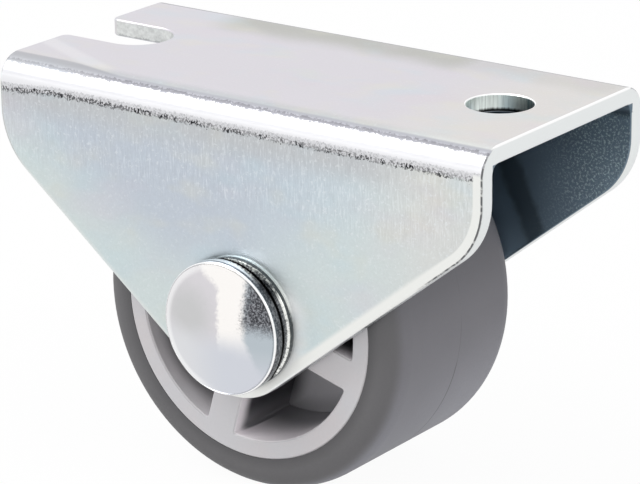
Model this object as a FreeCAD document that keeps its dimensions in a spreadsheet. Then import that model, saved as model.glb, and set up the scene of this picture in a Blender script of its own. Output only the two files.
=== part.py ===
import FreeCAD, Part
import math
import os
import Sketcher

# Fixed castor: a folded sheet housing, a riveted axle and one plastic wheel with a soft tyre.
# Origin at the centre of the top plate's upper face, +X towards the round screw hole, +Z up.
# The axle lies along Y. All sizes are in millimetres and degrees.

SIZES = {
    # Housing
    "plate_length": 48.0,
    "housing_width": 23.0,
    "sheet_thickness": 1.5,
    "bend_radius": 0.8,
    "cheek_end_drop": 7.5,
    "cheek_point_drop": 26.6,
    "cheek_corner_radius": 6.5,
    "cheek_tip_radius": 6.0,
    "edge_round": 0.2,
    "hole_diameter": 5.4,
    "hole_inset": 6.0,
    "hole_chamfer": 0.1,
    "slot_width": 6.0,
    "slot_depth": 8.5,
    "slot_mouth_radius": 0.8,
    # Axle
    "axle_drop": 18.55,
    "shank_diameter": 5.0,
    "shank_clearance": 0.04,
    "head_diameter": 11.2,
    "head_rim_thickness": 1.05,
    "head_dome_height": 0.75,
    "head_edge_radius": 0.2,
    "button_diameter": 8.4,
    "button_rim_thickness": 0.5,
    "button_dome_height": 0.9,
    "washer_diameter": 10.8,
    "washer_shift_along": 0.8,
    "washer_shift_up": 0.4,
    "washer_thickness": 0.65,
    "washer_chamfer": 0.15,
    "sleeve_diameter": 6.4,
    "sleeve_chamfer": 0.2,
    # Wheel
    "running_clearance": 0.06,
    "side_clearance": 0.1,
    "wheel_offset": 1.2,
    "hub_diameter": 9.2,
    "web_thickness": 2.0,
    "spoke_width": 2.8,
    "spoke_count": 4,
    "spoke_turn": 16.0,
    "pocket_corner_radius": 0.2,
    "pocket_chamfer": 0.12,
    "draft_angle": 1.0,
    "rim_diameter": 24.25,
    "rim_wall": 1.55,
    "rim_setback": 0.15,
    "rim_chamfer": 0.12,
    "hub_chamfer": 0.1,
    "lock_rib_width": 6.0,
    "lock_rib_height": 0.9,
    "tyre_setback": 0.05,
    "tyre_thickness": 2.875,
    "shoulder_radius": 2.0,
}

doc = FreeCAD.newDocument("fixed_castor")
sheet = doc.addObject("Spreadsheet::Sheet", "Sizes")
for row, (alias, size) in enumerate(SIZES.items(), start=1):
    sheet.set("A%d" % row, alias)
    sheet.set("B%d" % row, str(size))
    sheet.setAlias("B%d" % row, alias)
doc.recompute()

# Lengths that several pieces share, written once as formulas on the sheet
HALF_LENGTH = "Sizes.plate_length / 2"
HALF_WIDTH = "Sizes.housing_width / 2"
INSIDE_WIDTH = "(Sizes.housing_width - 2 * Sizes.sheet_thickness)"
SHANK_RADIUS = "Sizes.shank_diameter / 2"
SHANK_HOLE_RADIUS = "(Sizes.shank_diameter / 2 + Sizes.shank_clearance)"
SLEEVE_RADIUS = "Sizes.sleeve_diameter / 2"
HUB_BORE_RADIUS = "(Sizes.sleeve_diameter / 2 + Sizes.running_clearance)"
HUB_RADIUS = "Sizes.hub_diameter / 2"
HUB_END = "(" + INSIDE_WIDTH + " / 2 - Sizes.side_clearance - Sizes.wheel_offset)"
RIM_FACE = "(" + HUB_END + " - Sizes.rim_setback)"
RIM_RADIUS = "Sizes.rim_diameter / 2"
RIM_INNER_RADIUS = "(Sizes.rim_diameter / 2 - Sizes.rim_wall)"
LOCK_RADIUS = "(Sizes.rim_diameter / 2 + Sizes.lock_rib_height)"


def value(formula):
    """The number that a formula on the sheet gives."""
    return float(sheet.evalExpression(formula))


def new_body(label):
    """An empty body whose label names its file."""
    body = doc.addObject("PartDesign::Body", label)
    body.Label = label
    return body


def origin_feature(body, role):
    """One of the body's own origin planes or axes."""
    return next(item for item in body.Origin.OriginFeatures if item.Role == role)


def new_sketch(body, name, plane, offset="0"):
    """A sketch on an origin plane, moved along its normal by a formula."""
    sketch = body.newObject("Sketcher::SketchObject", name)
    sketch.AttachmentSupport = (origin_feature(body, plane), "")
    sketch.MapMode = "FlatFace"
    sketch.setExpression("AttachmentOffset.Base.z", offset)
    return sketch


def bind(sketch, constraint, formula):
    """Adds a constraint and ties its value to the sheet."""
    index = sketch.addConstraint(constraint)
    name = "size_%d" % index
    sketch.renameConstraint(index, name)
    sketch.setExpression("Constraints." + name, formula)


def pin_point(sketch, piece, end, x_formula, y_formula):
    """Holds one end of a sketch line or arc, or a centre, at a place given by two formulas."""
    bind(sketch, Sketcher.Constraint("DistanceX", -1, 1, piece, end, value(x_formula)), x_formula)
    bind(sketch, Sketcher.Constraint("DistanceY", -1, 1, piece, end, value(y_formula)), y_formula)


def dome_arc(first, last):
    """The arc that joins two points and has its centre on the sketch's vertical axis."""
    rise = 2 * (first[1] - last[1])
    centre = (first[0] ** 2 + first[1] ** 2 - last[0] ** 2 - last[1] ** 2) / rise
    angles = [math.atan2(point[1] - centre, point[0]) for point in (first, last)]
    turn = (angles[1] - angles[0] + math.pi) % (2 * math.pi) - math.pi
    radius = math.hypot(first[0], first[1] - centre)
    circle = Part.Circle(FreeCAD.Vector(0, centre, 0), FreeCAD.Vector(0, 0, 1), radius)
    forward = turn > 0
    start, end = angles if forward else angles[::-1]
    return Part.ArcOfCircle(circle, start, end), forward


def draw_outline(sketch, corners, domes=()):
    """A closed outline through corners given by formulas.

    A corner whose number is in domes is joined to the next one by an arc, not by a line.
    """
    points = [(value(x), value(y)) for x, y in corners]
    ends = []
    for number, first in enumerate(points):
        last = points[(number + 1) % len(points)]
        if number in domes:
            curve, forward = dome_arc(first, last)
            piece = sketch.addGeometry(curve, False)
            sketch.addConstraint(Sketcher.Constraint("PointOnObject", piece, 3, -2))
        else:
            line = Part.LineSegment(FreeCAD.Vector(*first, 0), FreeCAD.Vector(*last, 0))
            piece, forward = sketch.addGeometry(line, False), True
        ends.append((piece, 1, 2) if forward else (piece, 2, 1))
    for number, (piece, start, _) in enumerate(ends):
        before, _, before_end = ends[number - 1]
        sketch.addConstraint(Sketcher.Constraint("Coincident", before, before_end, piece, start))
        pin_point(sketch, piece, start, *corners[number])


def draw_circle(sketch, x_formula, y_formula, radius_formula):
    """A circle with its centre and radius tied to the sheet."""
    centre = FreeCAD.Vector(value(x_formula), value(y_formula), 0)
    circle = Part.Circle(centre, FreeCAD.Vector(0, 0, 1), value(radius_formula))
    piece = sketch.addGeometry(circle, False)
    pin_point(sketch, piece, 3, x_formula, y_formula)
    bind(sketch, Sketcher.Constraint("Radius", piece, value(radius_formula)), radius_formula)


def new_feature(body, kind, name, sketch, **settings):
    """A sketch-based feature; text settings that name the sheet are tied to it."""
    feature = body.newObject("PartDesign::" + kind, name)
    feature.Profile = sketch
    for setting, content in settings.items():
        if isinstance(content, str) and "Sizes." in content:
            feature.setExpression(setting, content)
        else:
            setattr(feature, setting, content)
    doc.recompute()
    return feature


def cut_everywhere(body, name, sketch):
    """A pocket that goes right through on both sides of its sketch."""
    before = body.Shape.Volume
    feature = new_feature(body, "Pocket", name, sketch, SideType="Symmetric", Type="ThroughAll")
    if feature.Shape.Volume >= before:
        raise ValueError("the pocket %s cuts nothing" % name)
    return feature


def turn_profile(body, name, sketch):
    """A full turn of a sketch about its vertical axis."""
    return new_feature(body, "Revolution", name, sketch, ReferenceAxis=(sketch, ["V_Axis"]), Angle=360)


def edges_of(shape, wanted):
    """The names of the edges that pass a test."""
    return ["Edge%d" % number for number, edge in enumerate(shape.Edges, start=1) if wanted(edge)]


def dress(body, kind, name, wanted, **settings):
    """A fillet or chamfer on the edges of the body's last feature that pass a test."""
    base = body.Tip
    names = edges_of(base.Shape, wanted)
    if not names:
        raise ValueError("no edge found for %s" % name)
    feature = body.newObject("PartDesign::" + kind, name)
    feature.Base = (base, names)
    for setting, formula in settings.items():
        feature.setExpression(setting, formula)
    doc.recompute()
    return feature


def near(first, second):
    """True for two lengths that agree to a thousandth of a millimetre."""
    return abs(first - second) < 1e-3


def runs_along(edge, axis):
    """True for a straight edge parallel to X, Y or Z (0, 1 or 2)."""
    if edge.Degenerated or edge.Curve.TypeId != "Part::GeomLine":
        return False
    return abs(edge.Curve.Direction[axis]) > 0.999


def is_circle(edge, radius):
    """True for a full circle of one radius."""
    if edge.Degenerated or edge.Curve.TypeId != "Part::GeomCircle" or not edge.isClosed():
        return False
    return near(edge.Curve.Radius, radius)


def is_ring(edge, radius, heights):
    """True for a full circle of one radius at one of some heights on Y."""
    return is_circle(edge, radius) and any(near(edge.Curve.Center.y, height) for height in heights)


def lies_at(edge, height):
    """True for an edge that lies flat across Y, this far from the middle on either side."""
    return edge.BoundBox.YLength < 1e-3 and near(abs(edge.BoundBox.YMax), height)


def furthest_from_axle(edge):
    """The largest distance of an edge's ends from the Y axis."""
    return max(math.hypot(corner.X, corner.Z) for corner in edge.Vertexes)


def at_axle(body, turn="0", along="0"):
    """Places a body that was modelled about Y on the axle's line, turned about it and moved along it."""
    body.Placement.Rotation = FreeCAD.Rotation(FreeCAD.Vector(0, 1, 0), value(turn))
    body.setExpression("Placement.Rotation.Angle", turn)
    body.setExpression("Placement.Base.y", along)
    body.setExpression("Placement.Base.z", "-Sizes.axle_drop")


def make_housing():
    """The folded sheet: top plate, two cheeks, bends, screw hole, screw slot and rivet holes."""
    body = new_body("housing")
    half_length = value(HALF_LENGTH)
    half_width = value(HALF_WIDTH)
    thickness = value("Sizes.sheet_thickness")

    side = new_sketch(body, "side_outline", "XZ_Plane")
    draw_outline(side, [
        ("-" + HALF_LENGTH, "0"),
        (HALF_LENGTH, "0"),
        (HALF_LENGTH, "-Sizes.cheek_end_drop"),
        ("0", "-Sizes.cheek_point_drop"),
        ("-" + HALF_LENGTH, "-Sizes.cheek_end_drop"),
    ])
    new_feature(body, "Pad", "side_block", side, SideType="Symmetric", Length="Sizes.housing_width")

    channel = new_sketch(body, "channel_outline", "YZ_Plane")
    draw_outline(channel, [
        ("-" + INSIDE_WIDTH + " / 2", "-Sizes.sheet_thickness"),
        (INSIDE_WIDTH + " / 2", "-Sizes.sheet_thickness"),
        (INSIDE_WIDTH + " / 2", "-(Sizes.cheek_point_drop + Sizes.sheet_thickness)"),
        ("-" + INSIDE_WIDTH + " / 2", "-(Sizes.cheek_point_drop + Sizes.sheet_thickness)"),
    ])
    cut_everywhere(body, "channel", channel)

    dress(body, "Fillet", "bend_inside",
          lambda edge: runs_along(edge, 0) and near(edge.BoundBox.ZMax, -thickness),
          Radius="Sizes.bend_radius")
    dress(body, "Fillet", "bend_outside",
          lambda edge: runs_along(edge, 0) and near(edge.BoundBox.ZMax, 0)
          and near(abs(edge.BoundBox.YMax), half_width),
          Radius="Sizes.bend_radius + Sizes.sheet_thickness")
    dress(body, "Fillet", "cheek_corners",
          lambda edge: runs_along(edge, 1) and near(edge.BoundBox.ZMax, -value("Sizes.cheek_end_drop")),
          Radius="Sizes.cheek_corner_radius")
    dress(body, "Fillet", "cheek_tips",
          lambda edge: runs_along(edge, 1) and near(edge.BoundBox.ZMax, -value("Sizes.cheek_point_drop")),
          Radius="Sizes.cheek_tip_radius")

    slot = new_sketch(body, "slot_outline", "XY_Plane")
    slot_centre = "(Sizes.slot_depth - Sizes.slot_width / 2 - Sizes.plate_length / 2)"
    draw_outline(slot, [
        (slot_centre, "-Sizes.slot_width / 2"),
        (slot_centre, "Sizes.slot_width / 2"),
        ("-(Sizes.plate_length / 2 + Sizes.slot_width)", "Sizes.slot_width / 2"),
        ("-(Sizes.plate_length / 2 + Sizes.slot_width)", "-Sizes.slot_width / 2"),
    ])
    cut_everywhere(body, "slot", slot)
    slot_end = new_sketch(body, "slot_end_outline", "XY_Plane")
    draw_circle(slot_end, slot_centre, "0", "Sizes.slot_width / 2")
    cut_everywhere(body, "slot_end", slot_end)
    dress(body, "Fillet", "slot_mouth",
          lambda edge: runs_along(edge, 2) and near(edge.BoundBox.XMax, -half_length)
          and near(abs(edge.BoundBox.YMax), value("Sizes.slot_width / 2")),
          Radius="Sizes.slot_mouth_radius")

    edges = body.newObject("PartDesign::Fillet", "sheet_edges")
    edges.Base = (edges.BaseFeature, [])
    edges.UseAllEdges = True
    edges.setExpression("Radius", "Sizes.edge_round")
    doc.recompute()

    hole = new_sketch(body, "hole_outline", "XY_Plane")
    draw_circle(hole, HALF_LENGTH + " - Sizes.hole_inset", "0", "Sizes.hole_diameter / 2")
    cut_everywhere(body, "screw_hole", hole)
    rivet_holes = new_sketch(body, "rivet_hole_outline", "XZ_Plane")
    draw_circle(rivet_holes, "0", "-Sizes.axle_drop", SHANK_HOLE_RADIUS)
    cut_everywhere(body, "rivet_holes", rivet_holes)
    dress(body, "Chamfer", "hole_edges",
          lambda edge: is_circle(edge, value("Sizes.hole_diameter / 2")),
          Size="Sizes.hole_chamfer")
    return body


def make_axle_rivet():
    """A solid rivet: low domed head on the -Y side, shank, and an upset button on the far cheek."""
    body = new_body("axle_rivet")
    under_head = "-(" + HALF_WIDTH + " + Sizes.washer_thickness)"
    head_rim = "-(" + HALF_WIDTH + " + Sizes.washer_thickness + Sizes.head_rim_thickness)"
    button_rim = "(" + HALF_WIDTH + " + Sizes.button_rim_thickness)"
    section = new_sketch(body, "rivet_section", "XY_Plane")
    draw_outline(section, [
        ("0", head_rim + " - Sizes.head_dome_height"),
        ("Sizes.head_diameter / 2", head_rim),
        ("Sizes.head_diameter / 2", under_head),
        (SHANK_RADIUS, under_head),
        (SHANK_RADIUS, HALF_WIDTH),
        ("Sizes.button_diameter / 2", HALF_WIDTH),
        ("Sizes.button_diameter / 2", button_rim),
        ("0", button_rim + " + Sizes.button_dome_height"),
    ], domes=(0, 6))
    turn_profile(body, "rivet_turned", section)
    dress(body, "Fillet", "head_edge",
          lambda edge: is_ring(edge, value("Sizes.head_diameter / 2"), [value(head_rim)]),
          Radius="Sizes.head_edge_radius")
    at_axle(body)
    return body


def make_head_washer():
    """The washer between the rivet's head and the near cheek, off the axle, so its hole is off centre."""
    body = new_body("head_washer")
    ring = new_sketch(body, "washer_outline", "XZ_Plane", offset=HALF_WIDTH)
    draw_circle(ring, "Sizes.washer_shift_along", "Sizes.washer_shift_up", "Sizes.washer_diameter / 2")
    draw_circle(ring, "0", "0", SHANK_HOLE_RADIUS)
    new_feature(body, "Pad", "washer_pad", ring, Length="Sizes.washer_thickness")
    near_cheek = -value(HALF_WIDTH)
    washer_radius = value("Sizes.washer_diameter / 2")
    dress(body, "Chamfer", "washer_edges",
          lambda edge: is_ring(edge, washer_radius,
                               [near_cheek, near_cheek - value("Sizes.washer_thickness")]),
          Size="Sizes.washer_chamfer")
    at_axle(body)
    return body


def make_axle_sleeve():
    """The spacer tube that keeps the cheeks apart and carries the hub."""
    body = new_body("axle_sleeve")
    ring = new_sketch(body, "sleeve_outline", "XZ_Plane")
    draw_circle(ring, "0", "0", SLEEVE_RADIUS)
    draw_circle(ring, "0", "0", SHANK_HOLE_RADIUS)
    new_feature(body, "Pad", "sleeve_pad", ring, SideType="Symmetric", Length=INSIDE_WIDTH)
    sleeve_end = value(INSIDE_WIDTH) / 2
    dress(body, "Chamfer", "sleeve_ends",
          lambda edge: is_ring(edge, value(SLEEVE_RADIUS), [-sleeve_end, sleeve_end]),
          Size="Sizes.sleeve_chamfer")
    at_axle(body)
    return body


def make_wheel_core():
    """The moulded wheel: hub, central web, rim with a rib that locks the tyre, and spokes.

    The wheel stands nearer to the -Y cheek, and its hub is longer on the far side to make up for it.
    """
    body = new_body("wheel_core")
    web_face = "Sizes.web_thickness / 2"
    slope = "tan(Sizes.draft_angle * 1 deg)"
    section = new_sketch(body, "core_half_section", "XY_Plane")
    draw_outline(section, [
        (HUB_BORE_RADIUS, "0"),
        (HUB_BORE_RADIUS, HUB_END),
        (HUB_RADIUS, HUB_END),
        (HUB_RADIUS + " + (" + HUB_END + " - " + web_face + ") * " + slope, web_face),
        (RIM_INNER_RADIUS + " - (" + RIM_FACE + " - " + web_face + ") * " + slope, web_face),
        (RIM_INNER_RADIUS, RIM_FACE),
        (RIM_RADIUS, RIM_FACE),
        (RIM_RADIUS, "Sizes.lock_rib_width / 2"),
        (LOCK_RADIUS, "Sizes.lock_rib_width / 2"),
        (LOCK_RADIUS, "0"),
    ])
    half = turn_profile(body, "core_half", section)
    whole = body.newObject("PartDesign::Mirrored", "core_both_halves")
    whole.Originals = [half]
    whole.MirrorPlane = (origin_feature(body, "XZ_Plane"), [""])
    body.Tip = whole
    doc.recompute()

    spoke_start = "(" + HUB_BORE_RADIUS + " + " + HUB_RADIUS + ") / 2"
    spoke_end = "(" + RIM_INNER_RADIUS + " + " + RIM_RADIUS + ") / 2"
    spoke_sketch = new_sketch(body, "spoke_outline", "XZ_Plane")
    draw_outline(spoke_sketch, [
        (spoke_start, "-Sizes.spoke_width / 2"),
        (spoke_end, "-Sizes.spoke_width / 2"),
        (spoke_end, "Sizes.spoke_width / 2"),
        (spoke_start, "Sizes.spoke_width / 2"),
    ])
    spoke = new_feature(body, "Pad", "spoke", spoke_sketch, SideType="Symmetric",
                        Length="2 * " + RIM_FACE)
    spokes = body.newObject("PartDesign::PolarPattern", "spokes")
    spokes.Originals = [spoke]
    spokes.Axis = (origin_feature(body, "Y_Axis"), [""])
    spokes.Angle = 360
    spokes.setExpression("Occurrences", "Sizes.spoke_count")
    body.Tip = spokes
    doc.recompute()

    far_hub = new_sketch(body, "far_hub_outline", "XZ_Plane", offset="-" + HUB_END)
    draw_circle(far_hub, "0", "0", HUB_RADIUS)
    draw_circle(far_hub, "0", "0", HUB_BORE_RADIUS)
    new_feature(body, "Pad", "far_hub", far_hub, Reversed=True, Length="2 * Sizes.wheel_offset")

    depth = value(RIM_FACE) - value(web_face)
    past_hub = value(spoke_start + " / 2 + " + spoke_end + " / 2")
    dress(body, "Fillet", "pocket_corners",
          lambda edge: near(edge.BoundBox.YLength, depth) and furthest_from_axle(edge) > past_hub,
          Radius="Sizes.pocket_corner_radius")
    dress(body, "Chamfer", "pocket_edges",
          lambda edge: lies_at(edge, value(RIM_FACE)) and not edge.isClosed()
          and furthest_from_axle(edge) > past_hub,
          Size="Sizes.pocket_chamfer")
    dress(body, "Chamfer", "rim_edges",
          lambda edge: is_ring(edge, value(RIM_RADIUS), [-value(RIM_FACE), value(RIM_FACE)]),
          Size="Sizes.rim_chamfer")
    far_end = value(HUB_END + " + 2 * Sizes.wheel_offset")
    dress(body, "Chamfer", "hub_edges",
          lambda edge: is_ring(edge, value(HUB_RADIUS), [-value(HUB_END), far_end]),
          Size="Sizes.hub_chamfer")
    at_axle(body, turn="Sizes.spoke_turn", along="-Sizes.wheel_offset")
    return body


def make_tyre():
    """The soft tread: a straight band with rounded shoulders, held on the rim by the core's rib."""
    body = new_body("tyre")
    tread = "(Sizes.rim_diameter / 2 + Sizes.tyre_thickness)"
    side = "(" + RIM_FACE + " - Sizes.tyre_setback)"
    section = new_sketch(body, "tyre_half_section", "XY_Plane")
    draw_outline(section, [
        (tread, "0"),
        (tread, side),
        (RIM_RADIUS, side),
        (RIM_RADIUS, "Sizes.lock_rib_width / 2"),
        (LOCK_RADIUS, "Sizes.lock_rib_width / 2"),
        (LOCK_RADIUS, "0"),
    ])
    half = turn_profile(body, "tyre_half", section)
    whole = body.newObject("PartDesign::Mirrored", "tyre_both_halves")
    whole.Originals = [half]
    whole.MirrorPlane = (origin_feature(body, "XZ_Plane"), [""])
    body.Tip = whole
    doc.recompute()
    dress(body, "Fillet", "shoulders",
          lambda edge: is_ring(edge, value(tread), [-value(side), value(side)]),
          Radius="Sizes.shoulder_radius")
    at_axle(body, along="-Sizes.wheel_offset")
    return body


def check_document():
    """Stops before anything is written if a feature failed."""
    for item in doc.Objects:
        if "Invalid" in item.State or "Error" in item.State:
            raise ValueError("%s failed: %s" % (item.Label, item.State))


def check_body(body):
    """Stops if a sub-part has no valid shape."""
    if body.Shape.isNull() or not body.Shape.isValid():
        raise ValueError("%s has no valid shape" % body.Label)


bodies = [
    make_housing(),
    make_axle_rivet(),
    make_head_washer(),
    make_axle_sleeve(),
    make_wheel_core(),
    make_tyre(),
]
doc.recompute()
check_document()
for part in bodies:
    check_body(part)
os.makedirs("parts", exist_ok=True)
for part in bodies:
    part.Shape.exportStep("parts/%s.step" % part.Label)
    print(part.Label, "solids", len(part.Shape.Solids), "faces", len(part.Shape.Faces),
          "volume", round(part.Shape.Volume, 2))
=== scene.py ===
import math
from types import SimpleNamespace
import bmesh
import bpy
import numpy as np
from mathutils import Matrix, Vector


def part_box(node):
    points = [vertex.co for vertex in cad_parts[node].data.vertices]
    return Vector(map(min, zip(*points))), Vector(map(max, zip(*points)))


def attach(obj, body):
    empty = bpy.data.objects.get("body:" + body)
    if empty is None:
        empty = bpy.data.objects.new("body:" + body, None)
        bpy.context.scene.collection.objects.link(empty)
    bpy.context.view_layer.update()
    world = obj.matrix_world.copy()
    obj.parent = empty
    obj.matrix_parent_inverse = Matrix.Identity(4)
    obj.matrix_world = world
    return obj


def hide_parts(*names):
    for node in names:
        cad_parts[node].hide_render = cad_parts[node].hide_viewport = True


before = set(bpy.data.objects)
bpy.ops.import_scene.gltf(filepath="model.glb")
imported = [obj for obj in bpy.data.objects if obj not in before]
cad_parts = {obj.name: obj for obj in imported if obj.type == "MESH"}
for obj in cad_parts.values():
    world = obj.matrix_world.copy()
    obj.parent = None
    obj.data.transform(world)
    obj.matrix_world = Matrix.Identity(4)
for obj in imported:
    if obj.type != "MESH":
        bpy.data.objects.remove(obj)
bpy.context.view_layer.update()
mm = 0.001
print("frame loaded:", sorted(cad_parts))

# Camera: the photograph's own view. Angles are in degrees, azimuth from -Y towards +X.
cameraSet = {
    "azimuth": 36.542,
    "elevation": 18.739,
    "roll": -0.71,
    "distance": 276.5 * mm,
    "target": (0.32 * mm, 0, -14.83 * mm),
    "lens": 188.36,
    "sensor": 36,
    "clipStart": 5 * mm,
    "clipEnd": 20,
}


# Direction from the target to the camera: the unit vector at that azimuth and elevation
def directionAt(azimuth, elevation):
    turn, lift = math.radians(azimuth), math.radians(elevation)
    return Vector((math.sin(turn) * math.cos(lift), -math.cos(turn) * math.cos(lift), math.sin(lift)))


def placeCamera(use):
    data = bpy.data.cameras.new("camera")
    data.lens = use["lens"]
    data.sensor_width = use["sensor"]
    data.clip_start = use["clipStart"]
    data.clip_end = use["clipEnd"]
    camera = bpy.data.objects.new("camera", data)
    bpy.context.scene.collection.objects.link(camera)
    back = directionAt(use["azimuth"], use["elevation"])
    turned = back.to_track_quat("Z", "Y").to_matrix() @ Matrix.Rotation(math.radians(use["roll"]), 3, "Z")
    place = Vector(use["target"]) + back * use["distance"]
    camera.matrix_world = Matrix.Translation(place) @ turned.to_4x4()
    bpy.context.scene.camera = camera


placeCamera(cameraSet)
print("camera placed")


# A node socket that takes part in sums: each operator adds one Math node
class Signal:
    def __init__(self, shader, socket):
        self.shader = shader
        self.socket = socket

    def maths(self, operation, first, second=0.0):
        return self.shader.add("ShaderNodeMath", {"operation": operation}, {0: first, 1: second})

    def __add__(self, other):
        return self.maths("ADD", self, other)

    def __sub__(self, other):
        return self.maths("SUBTRACT", self, other)

    def __rsub__(self, other):
        return self.maths("SUBTRACT", other, self)

    def __mul__(self, other):
        return self.maths("MULTIPLY", self, other)

    def __truediv__(self, other):
        return self.maths("DIVIDE", self, other)

    def __pow__(self, other):
        return self.maths("POWER", self, other)

    def __abs__(self):
        return self.maths("ABSOLUTE", self)

    __radd__ = __add__
    __rmul__ = __mul__

    def most(self, other):
        return self.maths("MAXIMUM", self, other)

    def least(self, other):
        return self.maths("MINIMUM", self, other)

    def over(self, limit):
        return self.maths("GREATER_THAN", self, limit)

    # Distance of the point (self, other) from (0, 0)
    def reach(self, other):
        return (self * self + other * other) ** 0.5

    # Angle of the point (self, other) about (0, 0), from -pi to pi
    def angle(self, other):
        return self.maths("ARCTAN2", other, self)

    # 0 below low, 1 above high, smooth between
    def rise(self, low, high):
        settings = {"interpolation_type": "SMOOTHSTEP"}
        limits = {"Value": self, "From Min": low, "From Max": high}
        return self.shader.add("ShaderNodeMapRange", settings, limits)

    def fall(self, low, high):
        return 1 - self.rise(low, high)

    # 1 between low and high, fading to 0 over soft on both sides
    def band(self, low, high, soft):
        return self.rise(low - soft, low) * self.fall(high, high + soft)


# sRGB hex to the linear colour that sockets take
def colour(text):
    parts = [int(text[start:start + 2], 16) / 255 for start in (0, 2, 4)]
    return tuple(part / 12.92 if part < 0.04045 else ((part + 0.055) / 1.055) ** 2.4 for part in parts)


# The node tree of a material or a world. A text given for a colour is a name in the piece's own dictionary.
class Shader:
    def __init__(self, owner, use):
        owner.use_nodes = True
        self.owner = owner
        self.use = use
        self.tree = owner.node_tree
        self.surface = self.tree.nodes.get("Principled BSDF")

    # Any node: its type, its settings, the values or links of its sockets, and the output wanted
    def add(self, kind, settings=None, sockets=None, output=0):
        node = self.tree.nodes.new(kind)
        for name, value in (settings or {}).items():
            setattr(node, name, value)
        for name, value in (sockets or {}).items():
            self.feed(node.inputs[name], value)
        return Signal(self, node.outputs[output])

    def feed(self, socket, value):
        if isinstance(value, str):
            value = colour(self.use[value])
        if isinstance(value, Signal):
            self.tree.links.new(value.socket, socket)
        elif socket.type == "RGBA":
            socket.default_value = (*value, 1)
        else:
            socket.default_value = value

    # Object coordinates in millimetres, stretched as asked
    def place(self, stretch=(1, 1, 1)):
        coordinates = self.add("ShaderNodeTexCoord", output="Object")
        scale = [part / mm for part in stretch]
        return self.add("ShaderNodeMapping", None, {"Vector": coordinates, "Scale": scale})

    def axes(self):
        parts = self.add("ShaderNodeSeparateXYZ", sockets={"Vector": self.place()})
        return [Signal(self, socket) for socket in parts.socket.node.outputs]

    # Noise with this many waves to the millimetre, along each axis where stretch says so
    def noise(self, scale, detail=2.0, roughness=0.5, stretch=(1, 1, 1)):
        sizes = {"Vector": self.place(stretch), "Scale": scale, "Detail": detail, "Roughness": roughness}
        return self.add("ShaderNodeTexNoise", None, sizes, "Fac")

    # a where the factor is 0, b where it is 1
    def blend(self, factor, a, b):
        node = self.tree.nodes.new("ShaderNodeMix")
        node.data_type = "RGBA"
        for index, value in ((0, factor), (6, a), (7, b)):
            self.feed(node.inputs[index], value)
        return Signal(self, node.outputs[2])

    # The colour made lighter or darker by this share
    def shade(self, base, share):
        return self.add("ShaderNodeVectorMath", {"operation": "SCALE"}, {0: base, "Scale": 1 + share})

    # Each bump is a height signal and its full height in millimetres
    def finish(self, bumps=(), **inputs):
        for name, value in inputs.items():
            self.feed(self.surface.inputs[name.replace("_", " ")], value)
        normal = None
        for height, size in bumps:
            sockets = {"Height": height, "Distance": size * mm}
            if normal:
                sockets["Normal"] = normal
            normal = self.add("ShaderNodeBump", None, sockets)
        if normal:
            self.feed(self.surface.inputs["Normal"], normal)
        return self.owner


def dress(node, material):
    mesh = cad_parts[node].data
    mesh.materials.clear()
    mesh.materials.append(material)


# Where the frame puts the axle, the washer and the wheel, in millimetres
rivetLow, rivetHigh = [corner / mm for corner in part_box("axle_rivet")]
washerLow, washerHigh = [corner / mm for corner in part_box("head_washer")]
tyreLow, tyreHigh = [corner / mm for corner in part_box("tyre")]
axleHeight = (tyreLow.z + tyreHigh.z) / 2
axlePlace = (0, axleHeight)
headRadius = (rivetHigh.x - rivetLow.x) / 2
washerRadius = (washerHigh.x - washerLow.x) / 2
washerPlace = ((washerLow.x + washerHigh.x) / 2, (washerLow.z + washerHigh.z) / 2)
wheelMiddle = (tyreLow.y + tyreHigh.y) / 2
wheelHalf = (tyreHigh.y - tyreLow.y) / 2

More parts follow.
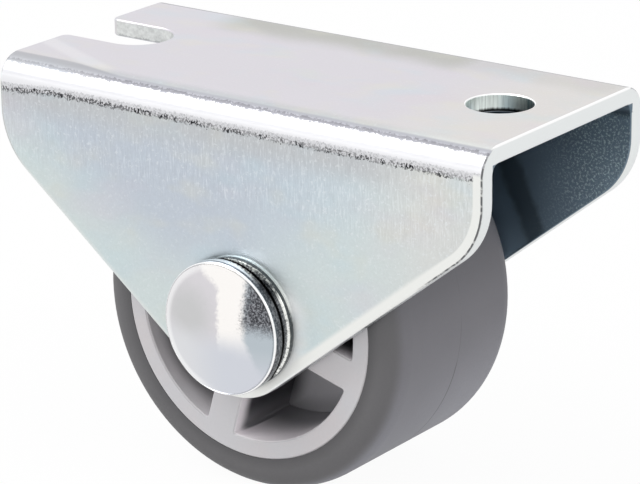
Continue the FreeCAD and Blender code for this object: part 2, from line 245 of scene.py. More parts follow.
# Zinc-plated sheet. Lengths are in millimetres. A pair is where a change starts and where it is complete, or
# the two sides of a band: mostly along x for the tones of the faces, and up the sheet for the bend.
# cornerStreak is a point (x, y) of the plate, and glowReach is counted from the washer's edge.
zincSet = {
    "cheekLeft": "c5cdd7",
    "cheekRight": "cdd9df",
    "cheekEnd": "dbdddb",
    "cheekTip": "d3dddd",
    "cheekTop": "c6c9cc",
    "plate": "d8d5db",
    "plateEnd": "dcd9d7",
    "plateBackReflection": "bcbcb8",
    "rose": "d8cdd8",
    "blue": "c3d9e2",
    "straw": "dfdccb",
    "white": "ffffff",
    "paintedGlint": "eef2f5",
    "bendHighlight": "cbcbcf",
    "bendHighlightLow": "eeeef1",
    "bendDark": "2c2c30",
    "bendFringe": "dedee1",
    "bendTop": "7f7f85",
    "bendGrey": "aeafb6",
    "rolledHighlight": "f1f2ef",
    "burrDarkReflection": "6d6e70",
    "cut": "e9ecec",
    "insideShade": "9cb4c6",
    "insideDeepShade": "6a7b88",
    "speckle": "e8fcff",
    "slot": "dadcdb",
    "slotDark": "83888a",
    "holeLit": "e8f0ec",
    "holeShaded": "52646b",
    "holeShadow": "1a1c1e",
    "rough": 0.4,
    "tintShare": 0.28,
    "width": 23.0,
    "length": 48.0,
    "sheet": 1.5,
    "bendRadius": 2.3,
    "pointDrop": 26.6,
    "endDrop": 7.5,
    "cornerRadius": 6.5,
    "tipRadius": 6.0,
    "slotPlace": -18.5,
    "slotRadius": 3.0,
    "holePlace": 18.0,
    "holeRadius": 2.7,
    "cheekToRight": (-2, 13),
    "cheekToEnd": (11, 21),
    "cheekToTip": (14, 23),
    "cheekToTop": (-3.2, -0.6),
    "plateToEnd": (10, 20),
    "plateToBack": (4.5, 8.5),
    "foot": (-0.22, 0.14),
    "fringe": (-0.05, 0.55),
    "highlightFrom": (0.42, 0.56),
    "highlightTo": (1.9, 2.0),
    "topLine": (2.0, 2.34),
    "shoulderFrom": (2.28, 2.38),
    "shoulderTo": (2.5, 2.8),
    "backLine": (2.9, 3.1),
    "cornerStreak": (-19, -7.6),
    "cornerSlope": 0.45,
    "glowReach": (-0.2, 2.0),
    "rolledHighlightWidth": (0.24, 0.82),
    "burrDarkReflectionFrom": (17.5, 20.5),
    "insideShadeStreak": (7.6, 8.9),
    "crystalsFrom": (14, 20.5),
    "drawnHeight": 0.005,
    "grainHeight": 0.005,
    "hazeHeight": 0.015,
}


# How far a point of the cheek is in from its outline: the smaller distance to the end and to the slanted
# side, and near the rounded corner and tip the radius less the distance to that arc's centre
def edgeDistance(x, z, use):
    halfLength = use["length"] / 2
    run = math.hypot(halfLength, use["pointDrop"] - use["endDrop"])
    steep, flat = halfLength / run, (use["pointDrop"] - use["endDrop"]) / run
    fromEnd = halfLength - abs(x)
    fromSlant = (z + use["pointDrop"]) * steep - abs(x) * flat
    a, b = use["cornerRadius"] - fromEnd, use["cornerRadius"] - fromSlant
    inCorner = (a - b * flat).over(0) * (b - a * flat).over(0)
    corner = use["cornerRadius"] - ((a * a + b * b - a * b * (2 * flat)) / (1 - flat ** 2)) ** 0.5
    down = use["tipRadius"] / steep - use["pointDrop"] - z
    inTip = (down * flat - abs(x) * steep).over(0)
    tip = use["tipRadius"] - x.reach(down)
    straight = fromEnd.least(fromSlant) * (1 - inCorner) * (1 - inTip)
    return straight + corner * inCorner + tip * inTip


# What the sheet is painted by. climb runs up the outside of the sheet: 0 at the foot of the bend, below 0 on
# the cheek. The mask by the washer is 1 on the cheek just outside the washer, except to the left of it and
# above: it places a patch of painted light there.
def readSheet(shader, use):
    x, y, z = shader.axes()
    across, radius, halfWidth = abs(y), use["bendRadius"], use["width"] / 2
    flatHalf = halfWidth - radius
    up = (z + radius).most(0)
    climb = radius * (across - flatHalf).most(0.0001).angle(up) + (z + radius).least(0)
    climb = climb + (flatHalf - across).most(0)
    out, rise = x - washerPlace[0], z - washerPlace[1]
    glow = (out.reach(rise) - washerRadius).fall(*use["glowReach"]) * x.rise(1, 4) * rise.fall(2, 5)
    return SimpleNamespace(
        x=x, y=y, z=z, across=across, halfWidth=halfWidth, climb=climb, inset=edgeDistance(x, z, use),
        wander=(shader.noise(0.12, 3, 0.55) - 0.5) * 10,
        haze=shader.noise(0.35, 3, 0.6),
        grain=shader.noise(5.0, 3, 0.75),
        drawn=shader.noise(1.0, 2, 0.7, stretch=(9.0, 9.0, 1.1)),
        nearBend=climb.band(-5.0, -0.4, 2.5) * climb.fall(-0.4, -0.2),
        paintedLightByWasher=glow * across.rise(halfWidth - 0.3, halfWidth - 0.1),
    )


# Cheek: blue grey on the left, with painted reflection making it paler to the right and to the tip and
# neutral under the bend, and a patch of painted light making it white by the washer
def cheekTone(shader, use, at):
    toTip = abs(at.x) * 0.62 + at.wander * 0.3 - at.z + at.x.rise(-8, 0) * 3.5
    cheek = shader.blend((at.x + at.wander).rise(*use["cheekToRight"]), "cheekLeft", "cheekRight")
    cheek = shader.blend(toTip.rise(*use["cheekToTip"]), cheek, "cheekTip")
    cheek = shader.blend((at.climb + at.wander * 0.06).rise(*use["cheekToTop"]), cheek, "cheekTop")
    cheek = shader.blend((at.x + at.wander * 0.6).rise(*use["cheekToEnd"]), cheek, "cheekEnd")
    return shader.blend(at.paintedLightByWasher * 0.85, cheek, "white")


# Plate: a painted dark reflection along its back, with a faint pale streak across the left front corner
def plateTone(shader, use, at):
    x, y, wander = at.x, at.y, at.wander
    plate = shader.blend((x + wander * 0.5).rise(*use["plateToEnd"]), "plate", "plateEnd")
    back = (y + wander * 0.35).rise(*use["plateToBack"]) * x.band(-13, 8, 4).most(x.band(8, 22, 4) * 0.4)
    plate = shader.blend(back, plate, "plateBackReflection")
    streakX, streakY = use["cornerStreak"]
    corner = (y - streakY + (x - streakX) * use["cornerSlope"]).band(-0.4, 0.4, 0.8) * x.fall(-15, -12)
    return shader.blend(corner * 0.2, plate, "white")


# Passivation: three faint tints in soft clouds
def paintTints(shader, use, base):
    for number, tint in enumerate(("rose", "blue", "straw")):
        patch = shader.noise(0.16 + 0.05 * number, 2, 0.5, stretch=(0.7, 1, 1.3)).rise(0.5, 0.75)
        base = shader.blend(patch * use["tintShare"], base, tint)
    return base


# Drawing marks down the cheek below the bend, with painted glints as pale streaks along them and as crystal
# sparkle all over
def paintGrain(shader, use, at, base):
    onFlat = 0.6 + 0.4 * at.climb.fall(-0.4, 0.4)
    marks = (at.drawn - 0.5) * at.nearBend * 0.28 + (at.grain - 0.5) * 0.2 * onFlat
    base = shader.shade(base, marks + (at.haze - 0.5) * 0.04)
    streak = at.drawn.rise(0.57, 0.68) * at.nearBend * (0.16 + 0.2 * at.x.rise(-16, 0))
    sparkle = shader.noise(3.6, 2, 0.6).rise(0.58, 0.7) * onFlat
    sparkle = sparkle * (0.2 + 0.14 * at.nearBend + 0.1 * at.x.rise(4, 12))
    return shader.blend(streak.most(sparkle), base, "paintedGlint")


# Bend: a hatched dark foot, a dotted pale fringe, a painted highlight on its back, over it a painted dark
# reflection line and a painted grey reflection for the shoulder that is wider to the left, and a thin painted
# dark reflection line along the far bend.
# low and high are climb made ragged for the borders of the painted highlight.
def paintBend(shader, use, at, base):
    x, climb = at.x, at.climb
    fray = shader.noise(3.4, 3, 0.75)
    low = climb + (fray - 0.5) * 0.6 + x.fall(-23, -18) * 0.35
    high = climb + (shader.noise(3.4, 3, 0.85) - 0.5) * 1.1
    leftEnd = x.fall(-19, -11)
    hatch = shader.noise(1.0, 2, 0.75, stretch=(6.5, 6.5, 5.0))
    dots = shader.noise(6.5, 2, 0.8).rise(0.5, 0.62) * 0.45
    fringe = shader.blend(dots, "bendFringe", "bendTop")
    inFringe = low.band(*use["fringe"], 0.12) * (0.75 + 0.25 * hatch.fall(0.4, 0.6))
    base = shader.blend(inFringe, base, fringe)
    paintedHighlight = shader.blend(climb.rise(0.75, 1.1), "bendHighlightLow", "bendHighlight")
    base = shader.blend(low.rise(*use["highlightFrom"]) * high.fall(*use["highlightTo"]), base, paintedHighlight)
    clumps = 0.45 + 0.55 * shader.noise(0.8, 2, 0.6).rise(0.4, 0.6).most(x.fall(-14, -2) * 0.7)
    foot = (low + (fray - 0.5) * 0.4).band(*use["foot"], 0.07) * hatch.rise(0.43, 0.53) * clumps
    base = shader.blend(foot, base, "bendDark")
    base = shader.blend(high.band(*use["topLine"], 0.07) * (0.95 - 0.2 * leftEnd), base, "bendTop")
    shoulder = high.rise(*use["shoulderFrom"]) * (climb - leftEnd * 0.75).fall(*use["shoulderTo"])
    base = shader.blend(shoulder * (1 - 0.3 * leftEnd), base, "bendGrey")
    return shader.blend(climb.band(*use["backLine"], 0.4) * at.y.rise(0, 1) * 0.7, base, "bendTop")


# Cheek's edge: rolled, with a painted highlight that is wide on the right, a broken line of painted dark
# reflection at the right end's burr and a faint one at the left end's, then the cut faces and a painted white
# highlight along the plate's end edges
def paintEdge(shader, use, at, base):
    x, z, climb, inset = at.x, at.z, at.climb, at.inset
    narrow, broad = use["rolledHighlightWidth"]
    wide = narrow + (broad - narrow) * x.rise(-3, 3)
    soft = 0.08 + 0.2 * z.fall(-12, -8)
    rolledHighlight = ((inset - wide) / soft).fall(-0.6, 1.2) * climb.fall(0.2, 0.5)
    base = shader.blend(rolledHighlight * (0.45 + 0.55 * x.rise(-9, 0)), base, "rolledHighlight")
    broken = 0.35 + shader.noise(1.6, 2, 0.7).rise(0.35, 0.6)
    outside = at.across.rise(at.halfWidth - 0.35, at.halfWidth - 0.2).most(climb.rise(0.1, 0.3))
    burrDarkReflection = inset.band(0.0, 0.12, 0.05) * x.rise(*use["burrDarkReflectionFrom"]) * climb.fall(1.9, 2.1) * broken * outside
    base = shader.blend(burrDarkReflection.least(1), base, "burrDarkReflection")
    leftBurrDarkReflection = inset.band(0.02, 0.2, 0.08) * x.fall(-23, -21) * climb.fall(0.0, 0.4)
    base = shader.blend(leftBurrDarkReflection * 0.3, base, "burrDarkReflection")
    base = shader.blend(inset.fall(0.0, 0.05), base, "cut")
    return shader.blend(z.rise(-0.22, -0.1) * inset.fall(0.1, 0.2), base, "white")


# Inside faces: painted shade in dark blue grey between the cheeks, deeper painted shade in a streak by the
# wheel, under the plate and at the edge, with crystals towards the open end
def paintInside(shader, use, at, base):
    side, under = at.halfWidth - use["sheet"], -use["sheet"]
    within = at.across.fall(side + 0.03, side + 0.1) * at.z.fall(under + 0.03, under + 0.1)
    streak = (at.x + at.z * 0.47 + (at.haze - 0.5) * 2).band(*use["insideShadeStreak"], 0.9)
    inner = shader.blend(streak * 0.75, "insideShade", "insideDeepShade")
    crystals = shader.noise(4.4, 2, 0.8).rise(0.5, 0.62) * (at.x + at.wander * 0.4).rise(*use["crystalsFrom"])
    inner = shader.blend(crystals, inner, "speckle")
    inner = shader.blend(at.z.rise(-3.0, -2.2).most(at.inset.fall(0.1, 0.28)), inner, "insideDeepShade")
    return shader.blend(within, base, inner)


# Screw slot: a rough punched wall with a dark lower edge. The distance is taken from the slot's middle line.
def paintSlot(shader, use, at, base):
    fromLine = (at.x - use["slotPlace"]).most(0).reach(at.y)
    inSlot = fromLine.fall(use["slotRadius"] + 0.01, use["slotRadius"] + 0.03) * at.z.fall(-0.2, -0.1)
    punched = shader.noise(1.0, 2, 0.75, stretch=(1.8, 1.8, 2.4))
    wall = shader.shade("slot", (punched - 0.5) * 0.7 + (at.grain - 0.5) * 0.3)
    lowerEdge = (at.z + (punched - 0.5) * 0.5).fall(-1.42, -1.24)
    wall = shader.blend(lowerEdge * 0.5, wall, "slotDark")
    return shader.blend(inSlot, base, wall)


# Screw hole: a streaked wall with painted light to the left and painted shade to the right, a painted shadow
# at its lower edge, and a painted highlight on its rounded rim
def paintHole(shader, use, at, base):
    out, radius = at.x - use["holePlace"], use["holeRadius"]
    fromMiddle = out.reach(at.y)
    streaks = shader.noise(1.0, 2, 0.75, stretch=(5, 5, 0.3))
    wall = shader.blend((out + (streaks - 0.5) * 5).fall(-1.2, 2.4), "holeShaded", "holeLit")
    wall = shader.shade(wall, (streaks - 0.5) * 1.2)
    wall = shader.blend((at.z + (streaks - 0.5) * 0.3).fall(-1.3, -1.05), wall, "holeShadow")
    base = shader.blend(fromMiddle.fall(radius + 0.01, radius + 0.03), base, wall)
    rim = fromMiddle.band(radius + 0.04, radius + 0.1, 0.02) * at.z.rise(-0.3, -0.15)
    return shader.blend(rim, base, "white")


def makeZinc(use):
    shader = Shader(bpy.data.materials.new("zincSheet"), use)
    at = readSheet(shader, use)
    bendEnd = use["bendRadius"] * math.pi / 2
    onPlate = at.climb.rise(bendEnd - 1.0, bendEnd)
    base = shader.blend(onPlate, cheekTone(shader, use, at), plateTone(shader, use, at))
    base = paintTints(shader, use, base)
    for paint in (paintGrain, paintBend, paintEdge, paintInside, paintSlot, paintHole):
        base = paint(shader, use, at, base)
    rough = use["rough"] + (at.haze - 0.5) * 0.1 + (at.grain - 0.5) * 0.12
    bumps = [(at.drawn * at.nearBend, use["drawnHeight"]),
             (at.grain, use["grainHeight"]), (at.haze, use["hazeHeight"])]
    return shader.finish(bumps, Base_Color=base, Metallic=1 - at.paintedLightByWasher * 0.6, Roughness=rough)


dress("housing", makeZinc(zincSet))
print("zinc sheet dressed")


# Rounds the corners of an outline. Each row is (y, r, radius): the corner is replaced by the arc of that
# radius that touches both its sides, so the arc's centre lies on the bisector at radius / sin(half angle),
# and its points are the centre plus the two touching radii mixed by sin((1-s)w)/sin(w) and sin(sw)/sin(w)
# for s from 0 to 1.
def roundOutline(corners, steps, closed):
    corners = np.array(corners, float)
    points, radius = corners[:, :2], corners[:, 2:3]
    before, after = np.roll(points, 1, 0) - points, np.roll(points, -1, 0) - points
    before /= np.linalg.norm(before, axis=1, keepdims=True)
    after /= np.linalg.norm(after, axis=1, keepdims=True)
    half = np.arccos(np.clip((before * after).sum(1, keepdims=True), -0.9999999, 0.9999999)) / 2
    if not closed:
        radius[[0, -1]] = 0
    reach = radius / np.tan(half)
    middle = before + after
    middle /= np.linalg.norm(middle, axis=1, keepdims=True) + 1e-12
    centre = points + middle * radius / np.sin(half)
    first, last = [(points + side * reach - centre)[:, None, :] for side in (before, after)]
    sweep = (math.pi - 2 * half)[:, None, :]
    share = np.linspace(0, 1, steps)[None, :, None]
    mixed = (np.sin((1 - share) * sweep) * first + np.sin(share * sweep) * last) / np.sin(sweep)
    return (centre[:, None, :] + mixed).reshape(-1, 2)


# Turns an outline once round an axis along y: x = middle's x + r cos(a), y = y, z = middle's z + r sin(a),
# for a from 0 to a full turn, with one middle for all rows or one for each. An outline that starts and ends
# on the axis is open, any other is joined end to start.
def turnOutline(name, outline, middles, sides, closed):
    angle = np.linspace(0, 2 * math.pi, sides, endpoint=False)
    y, r = outline[:, :1], outline[:, 1:]
    middle = np.broadcast_to(middles, outline.shape)
    x, z = middle[:, :1] + r * np.cos(angle), middle[:, 1:] + r * np.sin(angle)
    grid = np.stack(np.broadcast_arrays(x, y, z), -1)
    rows = len(outline) if closed else len(outline) - 1
    row, column = np.meshgrid(np.arange(rows), np.arange(sides), indexing="ij")
    nextRow, nextColumn = (row + 1) % len(outline), (column + 1) % sides
    quads = np.stack([row * sides + column, nextRow * sides + column,
                      nextRow * sides + nextColumn, row * sides + nextColumn], -1)
    mesh = bpy.data.meshes.new(name)
    mesh.from_pydata((grid.reshape(-1, 3) * mm).tolist(), [], quads.reshape(-1, 4).tolist())
    work = bmesh.new()
    work.from_mesh(mesh)
    bmesh.ops.remove_doubles(work, verts=work.verts, dist=1e-4 * mm)
    bmesh.ops.recalc_face_normals(work, faces=work.faces)
    for face in work.faces:
        face.smooth = True
    work.to_mesh(mesh)
    work.free()
    piece = bpy.data.objects.new(name, mesh)
    bpy.context.scene.collection.objects.link(piece)
    return piece


# The rivet: a domed head, the shank, and the upset button on the far side. Lengths are in millimetres, places
# on the head's face are in shares of its radius from the axle, and arcs are in radians from +x.
rivetSet = {
    "domeHeight": 0.75,
    "domeSteps": 40,
    "edge": 0.2,
    "underEdge": 0.08,
    "shankRadius": 2.5,
    "buttonRadius": 4.2,
    "buttonRim": 0.5,
    "buttonEdge": 0.2,
    "buttonFoot": 0.05,
    "buttonSteps": 24,
    "cornerSteps": 7,
    "sides": 192,
    # The head's colours are painted reflections and highlights of the polished steel, and the gap's colour is
    # a painted shadow
    "grey": "cacacb",
    "greyPale": "d9d6da",
    "white": "fcf9f6",
    "lower": "d1d4dc",
    "lowerLeft": "dcdde0",
    "cool": "b9c2c9",
    "rim": "fefefe",
    "darkReflection": "424347",
    "darkReflectionPale": "aeb0b6",
    "side": "4a4e54",
    "gapShadow": "111214",
    "rough": 0.12,
    "greyMiddle": (-0.5, 0.15),
    "greySpread": (0.15, 0.65),
    "whiteFrom": (0.02, 0.11),
    "whiteTop": (0.58, 0.74),
    "lowerTo": (-0.4, 0.1),
    "coolFrom": (0.44, 0.58),
    "patchFrom": (0.36, 0.56),
    "patchLow": (0.0, 0.27),
    "topArc": (1.1, 2.7),
    "lowArc": (-2.2, -0.9),
}


# A dome's outline: y = top + (R - sqrt(R^2 - r^2)) with R = (radius^2 + height^2) / (2 height), r from 0 to
# the rim. away is 1 where the dome falls towards +y and -1 where it falls towards -y.
def domeOutline(top, radius, height, away, steps):
    r = np.linspace(0, radius, steps)
    ball = (radius ** 2 + height ** 2) / (2 * height)
    y = top + away * (ball - np.sqrt(ball ** 2 - r ** 2))
    return np.stack([y, r, np.zeros(steps)], 1)


def makeRivet(use):
    under = washerLow.y
    far = washerHigh.y + zincSet["width"]
    shank = use["shankRadius"]
    dome = domeOutline(rivetLow.y, headRadius, use["domeHeight"], 1, use["domeSteps"])
    dome[-1, 2] = use["edge"]
    buttonHeight = rivetHigh.y - far - use["buttonRim"]
    button = domeOutline(rivetHigh.y, use["buttonRadius"], buttonHeight, -1, use["buttonSteps"])[::-1]
    button[0, 2] = use["buttonEdge"]
    head = [(under, headRadius, use["underEdge"]), (under, shank, 0)]
    foot = [(far, shank, 0), (far, use["buttonRadius"], use["buttonFoot"])]
    outline = roundOutline(np.vstack([dome, head, foot, button]), use["cornerSteps"], False)
    piece = turnOutline("rivet", outline, axlePlace, use["sides"], False)
    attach(piece, "housing")
    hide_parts("axle_rivet")
    return piece


def makePolished(use):
    shader = Shader(bpy.data.materials.new("rivetPolish"), use)
    x, y, z = shader.axes()
    cloud = shader.noise(0.22, 3, 0.55)
    fine = shader.noise(5.0, 3, 0.75)
    fray = (shader.noise(1.8, 4, 0.85) - 0.5) * 0.24
    u, v = x / headRadius, (z - axleHeight) / headRadius
    reach, turn = u.reach(v), u.angle(v)

    # polished face, all painted reflection: a grey field that is darkest at its middle, a white band of
    # painted highlight beside it, and a cool lower part
    fromGrey = (u - use["greyMiddle"][0]).reach(v - use["greyMiddle"][1])
    grey = shader.blend((fromGrey + fray).rise(*use["greySpread"]), "grey", "greyPale")
    inGrey = (u + fray).fall(*use["whiteFrom"]) * (v + u * 0.7 + fray).fall(*use["whiteTop"])
    base = shader.blend(inGrey, "white", grey)
    lower = shader.blend(u.rise(-0.7, 0.2), "lowerLeft", "lower")
    base = shader.blend((v + (cloud - 0.5) * 0.3).fall(*use["lowerTo"]), base, lower)

    # painted reflection at the right: a cool field with a speckled dark patch above it, and a painted
    # highlight as a pale rim round the face
    right = (u - (-0.05 - v).most(0) * 0.45 + fray * 0.6).rise(*use["coolFrom"])
    base = shader.blend(right * v.rise(-0.75, -0.1), base, "cool")
    patch = (u - v * 0.12 + (fine - 0.5) * 0.3 + fray * 0.7).rise(*use["patchFrom"])
    patch = patch * (v + fray).rise(*use["patchLow"])
    specks = shader.noise(6.5, 2, 0.75).rise(0.44, 0.62)
    base = shader.blend(patch, base, shader.blend(specks * 0.7, "darkReflection", "darkReflectionPale"))
    base = shader.blend(reach.rise(0.84, 0.93) * u.fall(-0.5, 0.0) * 0.55, base, "rim")
    base = shader.blend(reach.rise(0.974, 0.985), base, "rim")

    # side of the head: a painted dark reflection, with a white band of painted highlight over the top and a
    # painted black shadow in the gap at the washer
    front = rivetLow.y + use["domeHeight"]
    along = (y - front) / (washerLow.y - front)
    onSide = along.rise(0.10, 0.18)
    side = shader.blend(fine.rise(0.42, 0.62) * 0.6, "side", "darkReflectionPale")
    side = shader.blend((turn + fray).band(*use["topArc"], 0.25) * along.rise(0.3, 0.42), side, "rim")
    side = shader.blend(turn.band(*use["lowArc"], 0.4) * 0.6, side, "cool")
    side = shader.blend(along.rise(0.80, 0.88), side, "gapShadow")
    base = shader.blend(onSide * y.fall(0, 1), base, side)
    rough = use["rough"] + (cloud - 0.5) * 0.06 + patch * 0.15 + onSide * 0.1
    return shader.finish([(cloud, 0.02), (fine, 0.002)], Base_Color=base, Metallic=1.0, Roughness=rough)


rivet = makeRivet(rivetSet)
rivet.data.materials.append(makePolished(rivetSet))
print("rivet made")

# The washer under the head: a ring with a crowned outer side, whose hole is off centre. Lengths are in
# millimetres, and arcs are in radians from +x.
washerSet = {
    "bore": 2.54,
    "edge": 0.2,
    "backEdge": 0.1,
    "crown": 0.05,
    "crownRadius": 1.2,
    "steps": 8,
    "sides": 192,
    "plain": "a6aaa7",
    "paintedHighlight": "f3f4f0",
    "dark": "3f4347",
    "gapShadow": "16171a",
    "rough": 0.24,
    "streakArc": (-0.7, 0.55),
    "topArc": (0.45, 2.4),
}


def makeWasher(use):
    front, back = washerLow.y, washerHigh.y
    edge = washerRadius - use["crown"]
    outline = roundOutline([
        (front, use["bore"], 0), (front, edge, use["edge"]),
        ((front + back) / 2, washerRadius, use["crownRadius"]),
        (back, edge, use["backEdge"]), (back, use["bore"], 0),
    ], use["steps"], True)
    middles = [axlePlace, washerPlace, washerPlace, washerPlace, axlePlace]
    middles = np.repeat(middles, use["steps"], axis=0)
    piece = turnOutline("washer", outline, middles, use["sides"], True)
    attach(piece, "housing")
    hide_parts("head_washer")
    return piece


# Dark and speckled, with painted highlights as a streak on the front at the right and as a line along the
# top's back, and a painted shadow under the head's rim
def makeTurned(use):
    shader = Shader(bpy.data.materials.new("turnedSteel"), use)
    x, y, z = shader.axes()
    turn = (x - washerPlace[0]).angle(z - washerPlace[1])
    fine = shader.noise(5.0, 3, 0.75)
    rings = shader.noise(1.0, 2, 0.6, stretch=(0.35, 14, 0.35))
    plain = shader.shade("plain", (rings - 0.5) * 0.5 + (fine - 0.5) * 0.3)
    front, back = washerLow.y, washerHigh.y
    onFront = y.fall(front + 0.1, front + 0.18)
    base = shader.blend((fine - (1 - onFront) * 0.12).fall(0.44, 0.6) * 0.9, plain, "dark")
    streak = onFront * (turn + (fine - 0.5) * 0.4).band(*use["streakArc"], 0.15)
    base = shader.blend(streak * fine.rise(0.32, 0.5), base, "paintedHighlight")
    topLine = y.rise(back - 0.2, back - 0.12) * turn.band(*use["topArc"], 0.3)
    base = shader.blend(topLine, base, "paintedHighlight")
    fromAxle = x.reach(z - axleHeight)
    under = fromAxle.band(headRadius - 0.9, headRadius + 0.02, 0.05) * y.fall(front + 0.1, front + 0.2)
    base = shader.blend(under, base, "gapShadow")
    rough = use["rough"] + (fine - 0.5) * 0.2
    return shader.finish([(rings, 0.008), (fine, 0.004)], Base_Color=base, Metallic=1.0, Roughness=rough)


washer = makeWasher(washerSet)
turned = makeTurned(washerSet)
washer.data.materials.append(turned)
dress("axle_sleeve", turned)
print("washer made")

# Wheel core: light grey moulded plastic, with painted shade towards the depth of its pockets and painted
# light on their walls by the face and on the web. Lengths are in millimetres, and the turn of the spokes is
# in degrees. The pair where the painted shade comes in is a depth, and rimTo is counted in from the rim's
# wall.
coreSet = {
    "face": "c3c2c5",
    "warm": "c5c1c3",
    "wall": "fbf5f9",
    "deepShade": "3c3b40",
    "deepRimShade": "757478",
    "deepRightShade": "a9a8ac",
    "floor": "c4c3c7",
    "rough": 0.46,
    "rimInner": 10.575,
    "hub": 4.6,
    "webHalf": 1.0,
    "spokeHalf": 1.4,
    "spokeTurn": 16.0,
    "shadeFrom": (1.2, 5.8),
    "rimTo": (0.1, 2.2),
}


def makeCore(use):
    shader = Shader(bpy.data.materials.new("corePlastic"), use)
    x, y, z = shader.axes()
    rise = z - axleHeight
    fromMiddle = abs(y - wheelMiddle)
    depth = wheelHalf - fromMiddle
    cloud = shader.noise(0.2, 2, 0.5)
    fine = shader.noise(4.0, 3, 0.6)
    base = shader.blend(cloud.rise(0.35, 0.7), "face", "warm")
    reach = x.reach(rise)
    pocket = reach.band(use["hub"] - 0.08, use["rimInner"] + 0.12, 0.02)

    # walls: painted light by the face and painted shade in the depth, sooner on the spokes and at the left.
    # The spokes' own axes give the distance to the nearest one.
    c, s = math.cos(math.radians(use["spokeTurn"])), math.sin(math.radians(use["spokeTurn"]))
    fromSpoke = abs(x * c - rise * s).least(abs(x * s + rise * c)) - use["spokeHalf"]
    wall = depth.rise(0.0, 0.12) * pocket * (0.4 + 0.6 * x.rise(-5, -1))
    base = shader.blend(wall, base, "wall")
    rimTone = shader.blend(x.rise(-3, 2.5), "deepRimShade", "deepRightShade")
    deepShade = shader.blend((use["rimInner"] - reach).fall(*use["rimTo"]), "deepShade", rimTone)
    steep = 1 + fromSpoke.fall(0.1, 0.6) * 2.4 + x.fall(-8, -4) * 0.9
    dark = ((depth + (cloud - 0.5)) * steep).rise(*use["shadeFrom"])
    base = shader.blend(dark * pocket, base, deepShade)

    # web: painted light away from the walls, leaving painted shade in the corners
    fromWall = fromSpoke.least(use["rimInner"] - reach).least(reach - use["hub"])
    web = fromMiddle.fall(use["webHalf"] + 0.02, use["webHalf"] + 0.06) * fromWall.rise(-0.3, 1.8)
    base = shader.blend(web, base, "floor")
    base = shader.shade(base, (fine - 0.5) * 0.08)
    rough = use["rough"] + (fine - 0.5) * 0.1
    return shader.finish([(fine, 0.006), (cloud, 0.03)], Base_Color=base, Metallic=0.0, Roughness=rough)


dress("wheel_core", makeCore(coreSet))
print("wheel core dressed")

# Tyre: matt grey thermoplastic rubber. Lengths are in millimetres. treadTo is counted outwards from the side,
# and the other pairs are heights over the axle.
tyreSet = {
    "tread": "68676c",
    "treadLowLit": "727278",
    "side": "5f5e60",
    "shadow": "4b4a4c",
    "line": "48474a",
    "rough": 0.6,
    "inner": 12.125,
    "partingPlace": -0.9,
    "partingHalf": 0.03,
    "partingTo": (-4.0, -2.8),
    "treadTo": (-1.3, -0.4),
    "toLow": (-11, 2),
    "litTo": (-11, 1),
}


# The tread has painted light towards its foot and its far side, and painted shade towards its top. The side
# has a painted shadow by the core. The parting line shows low on the right and here and there elsewhere.
def makeRubber(use):
    shader = Shader(bpy.data.materials.new("tyreRubber"), use)
    x, y, z = shader.axes()
    rise = z - axleHeight
    cloud = shader.noise(0.25, 3, 0.55)
    fine = shader.noise(5.0, 3, 0.65)
    low = rise.fall(*use["litTo"]) * (0.25 + 0.75 * y.rise(-8, 6))
    tread = shader.blend(rise.fall(*use["toLow"]), "tread", "treadLowLit")
    tread = shader.shade(tread, low * 0.72 + rise.fall(0, 4) * 0.1 - rise.rise(1, 6) * 0.08)
    onTread = (abs(y - wheelMiddle) - wheelHalf).fall(*use["treadTo"])
    base = shader.blend(onTread, "side", tread)
    byCore = x.reach(rise).fall(use["inner"] - 0.1, use["inner"] + 1.1)
    base = shader.blend(byCore * 0.7, base, "shadow")
    patchy = shader.noise(0.18, 1, 0.5).rise(0.42, 0.55) * 0.35
    shown = (rise.fall(*use["partingTo"]) * x.over(0)).most(patchy)
    parting = (y - use["partingPlace"]).band(-use["partingHalf"], use["partingHalf"], 0.06) * shown
    base = shader.blend(parting * 0.7, base, "line")
    base = shader.shade(base, (fine - 0.5) * (0.14 + low * 0.3) + (cloud - 0.5) * 0.08)
    rough = use["rough"] + (fine - 0.5) * 0.12
    return shader.finish([(1 - parting, 0.02), (fine, 0.01)], Base_Color=base, Metallic=0.0, Roughness=rough)


dress("tyre", makeRubber(tyreSet))
print("tyre dressed")

# Light and stage. The floor and the sky look white to the camera and in metal and glass. Lengths are in
# metres, and keep is the share of the paper's own look, with the object's shadow, that the camera still sees.
stageSet = {
    "floor": tyreLow.z * mm,
    "size": 3.0,
    "keep": 0.045,
    "paper": "e6e6e6",
    "white": "ffffff",
    "paperRough": 0.9,
    "sky": 0.85,
    "lamps": [
        {"azimuth": -50, "elevation": 48, "distance": 0.6, "size": 0.35, "power": 1.6},
        {"azimuth": 85, "elevation": 30, "distance": 0.6, "size": 0.3, "power": 0.4},
        {"azimuth": 20, "elevation": 80, "distance": 0.6, "size": 0.4, "power": 0.3},
    ],
}


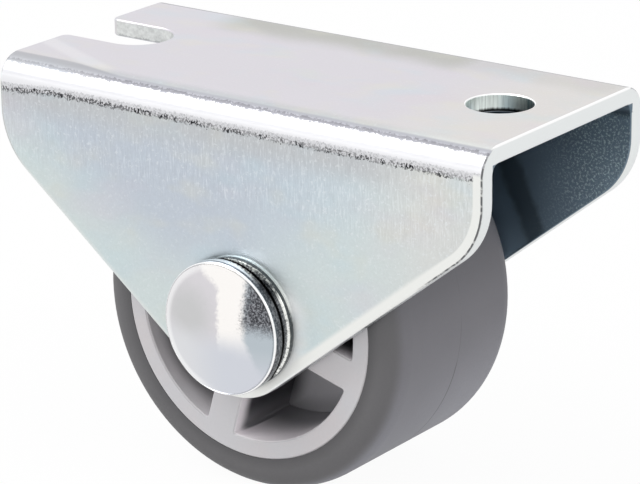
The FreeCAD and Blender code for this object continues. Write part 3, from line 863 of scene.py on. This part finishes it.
# A Light Path mask: 1 for rays that the camera sends, straight or by metal and glass
def seenDirectly(shader):
    path = shader.tree.nodes.new("ShaderNodeLightPath")
    kinds = ("Camera", "Glossy", "Transmission")
    straight, metal, glass = [Signal(shader, path.outputs["Is %s Ray" % kind]) for kind in kinds]
    return straight.most(metal).most(glass)


def makeFloor(use):
    half = use["size"] / 2
    mesh = bpy.data.meshes.new("floor")
    corners = [(-half, -half), (half, -half), (half, half), (-half, half)]
    mesh.from_pydata([(x, y, use["floor"]) for x, y in corners], [], [(0, 1, 2, 3)])
    floor = bpy.data.objects.new("floor", mesh)
    bpy.context.scene.collection.objects.link(floor)
    shader = Shader(bpy.data.materials.new("floorPaper"), use)
    mesh.materials.append(shader.finish(Base_Color="paper", Roughness=use["paperRough"]))
    white = shader.add("ShaderNodeEmission", None, {"Color": "white", "Strength": 1.0})
    paper = Signal(shader, shader.surface.outputs[0])
    share = seenDirectly(shader) * (1 - use["keep"])
    mixed = shader.add("ShaderNodeMixShader", None, {0: share, 1: paper, 2: white})
    shader.feed(shader.tree.nodes["Material Output"].inputs["Surface"], mixed)


def makeLamps(use):
    for number, lamp in enumerate(use["lamps"]):
        data = bpy.data.lights.new("lamp%d" % number, "AREA")
        data.size = lamp["size"]
        data.energy = lamp["power"]
        light = bpy.data.objects.new("lamp%d" % number, data)
        bpy.context.scene.collection.objects.link(light)
        away = directionAt(lamp["azimuth"], lamp["elevation"])
        turned = away.to_track_quat("Z", "Y").to_matrix().to_4x4()
        light.matrix_world = Matrix.Translation(away * lamp["distance"]) @ turned


def makeSky(use):
    world = bpy.data.worlds.new("studio")
    bpy.context.scene.world = world
    shader = Shader(world, use)
    light = shader.add("ShaderNodeBackground", None, {"Color": "white", "Strength": use["sky"]})
    white = shader.add("ShaderNodeBackground", None, {"Color": "white", "Strength": 1.0})
    mixed = shader.add("ShaderNodeMixShader", None, {0: seenDirectly(shader), 1: light, 2: white})
    shader.feed(shader.tree.nodes["World Output"].inputs["Surface"], mixed)


makeFloor(stageSet)
makeLamps(stageSet)
makeSky(stageSet)
bpy.context.scene.view_settings.view_transform = "Standard"
print("stage set")
